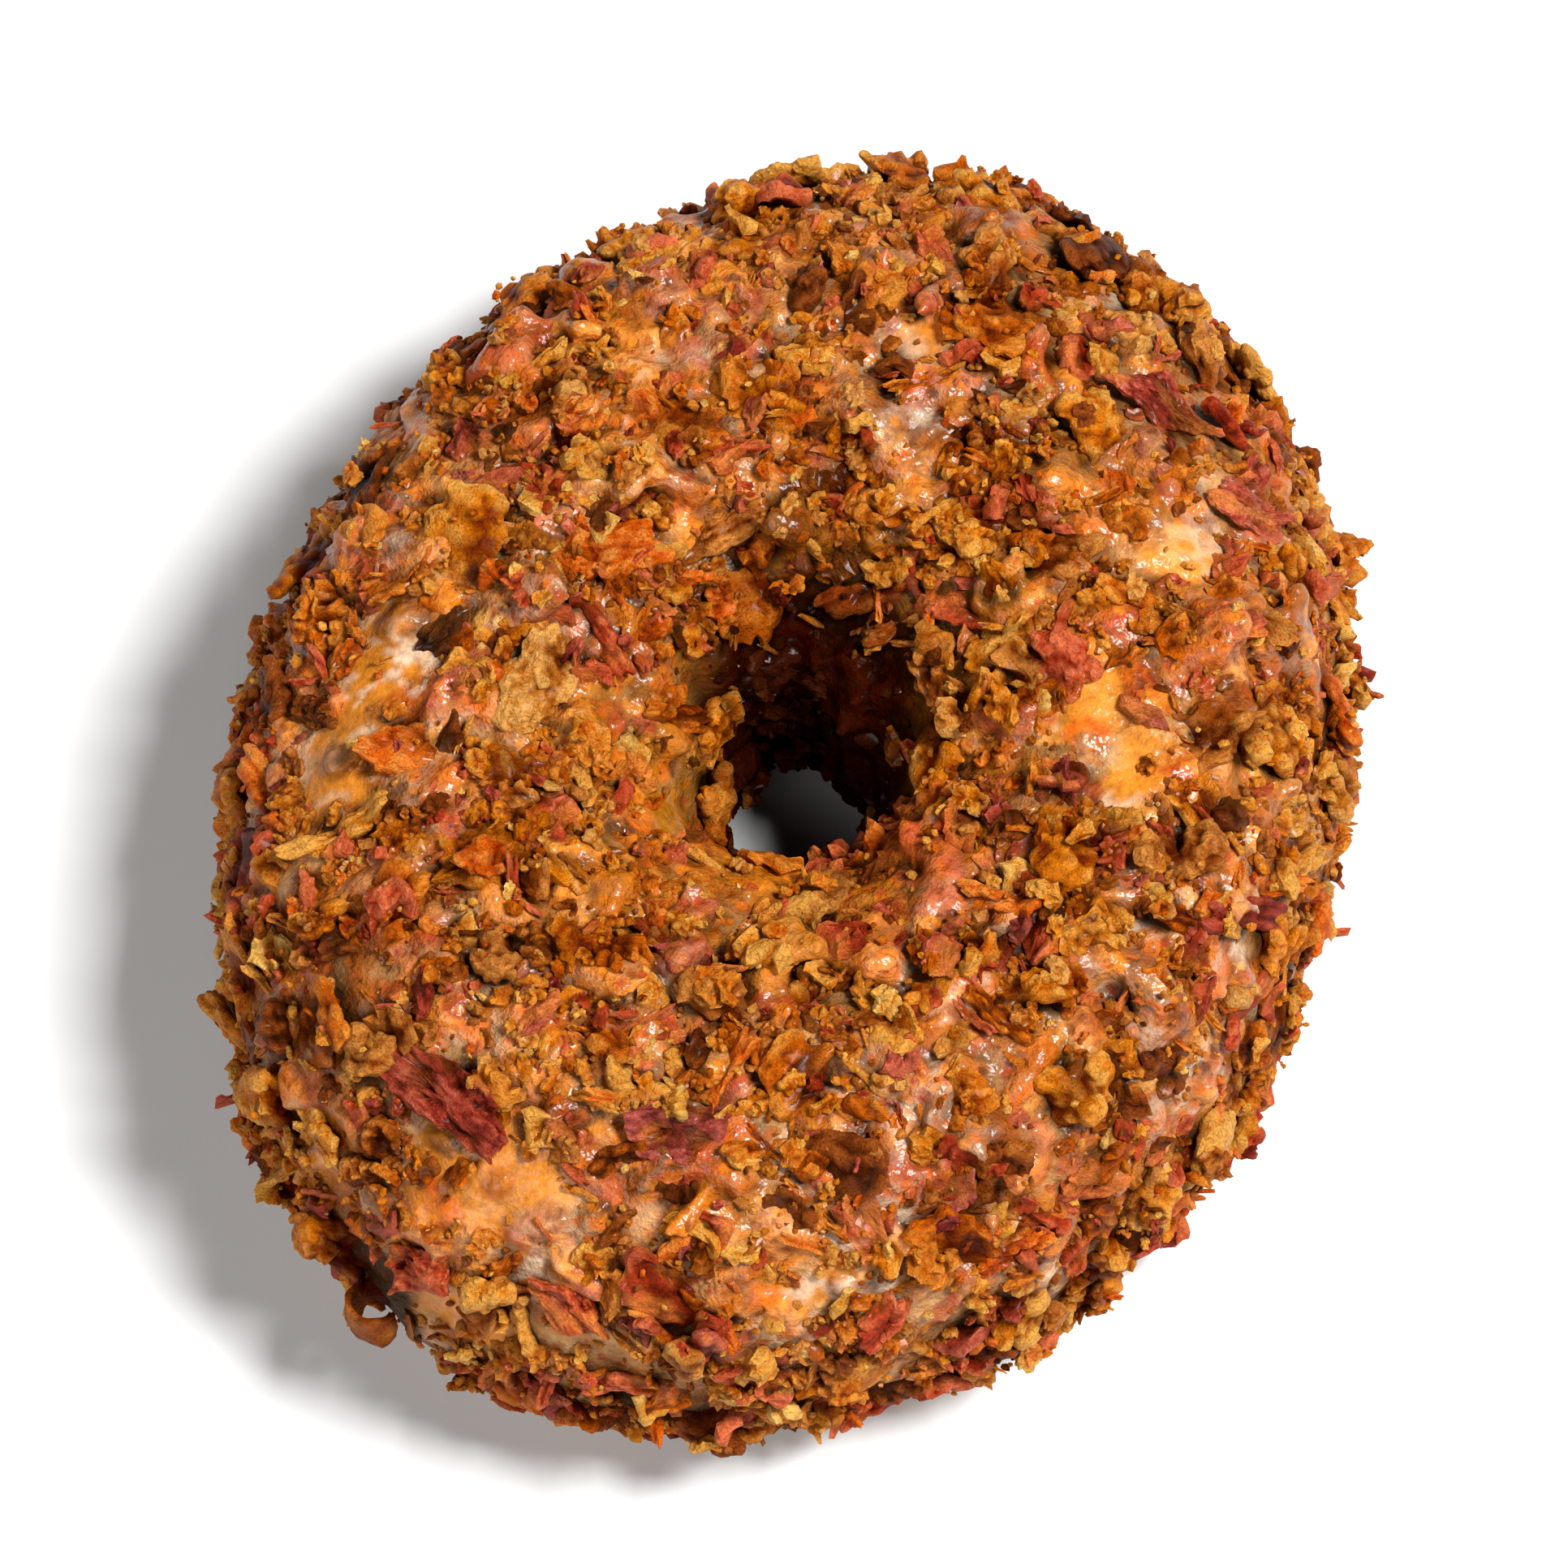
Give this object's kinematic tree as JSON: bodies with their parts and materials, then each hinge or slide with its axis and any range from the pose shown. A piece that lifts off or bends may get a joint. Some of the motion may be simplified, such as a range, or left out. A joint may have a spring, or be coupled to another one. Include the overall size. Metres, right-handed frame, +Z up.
{
  "type": "maple bacon doughnut",
  "caption": "Oval ring doughnut of fried dough with a maple icing cap, covered in chopped crisp bacon, with a hole through the middle.",
  "frame": {"origin": "middle of the outline on the surface that the doughnut rests on", "axes": "+Z up through the hole, +Y along the longer way of the oval ring, +X across it"},
  "size_m": [0.0878, 0.106, 0.0362],
  "materials": {
    "fried_dough": "dry golden-brown fried crust with a paler band, slightly wrinkled",
    "maple_icing": "glossy, slightly translucent tan maple glaze over crumbs",
    "crisp_bacon": "crisp fried bacon with a light sheen of fat and glaze"
  },
  "bodies": {
    "root": {"dough_ring": "fried_dough", "icing_with_chips": "maple_icing", "bacon_maroon_large": "crisp_bacon", "bacon_purple": "crisp_bacon", "bacon_red_front": "crisp_bacon", "bacon_red_side": "crisp_bacon", "bacon_curl_left": "crisp_bacon", "bacon_maroon_back": "crisp_bacon", "bacon_flake_back": "crisp_bacon", "bacon_lumpy_left": "crisp_bacon", "bacon_orange_inner": "crisp_bacon", "bacon_brown_strip": "crisp_bacon", "bacon_maroon_right": "crisp_bacon", "bacon_flake_top": "crisp_bacon", "bacon_rust_right": "crisp_bacon", "bacon_red_right": "crisp_bacon"}
  },
  "joints": []
}
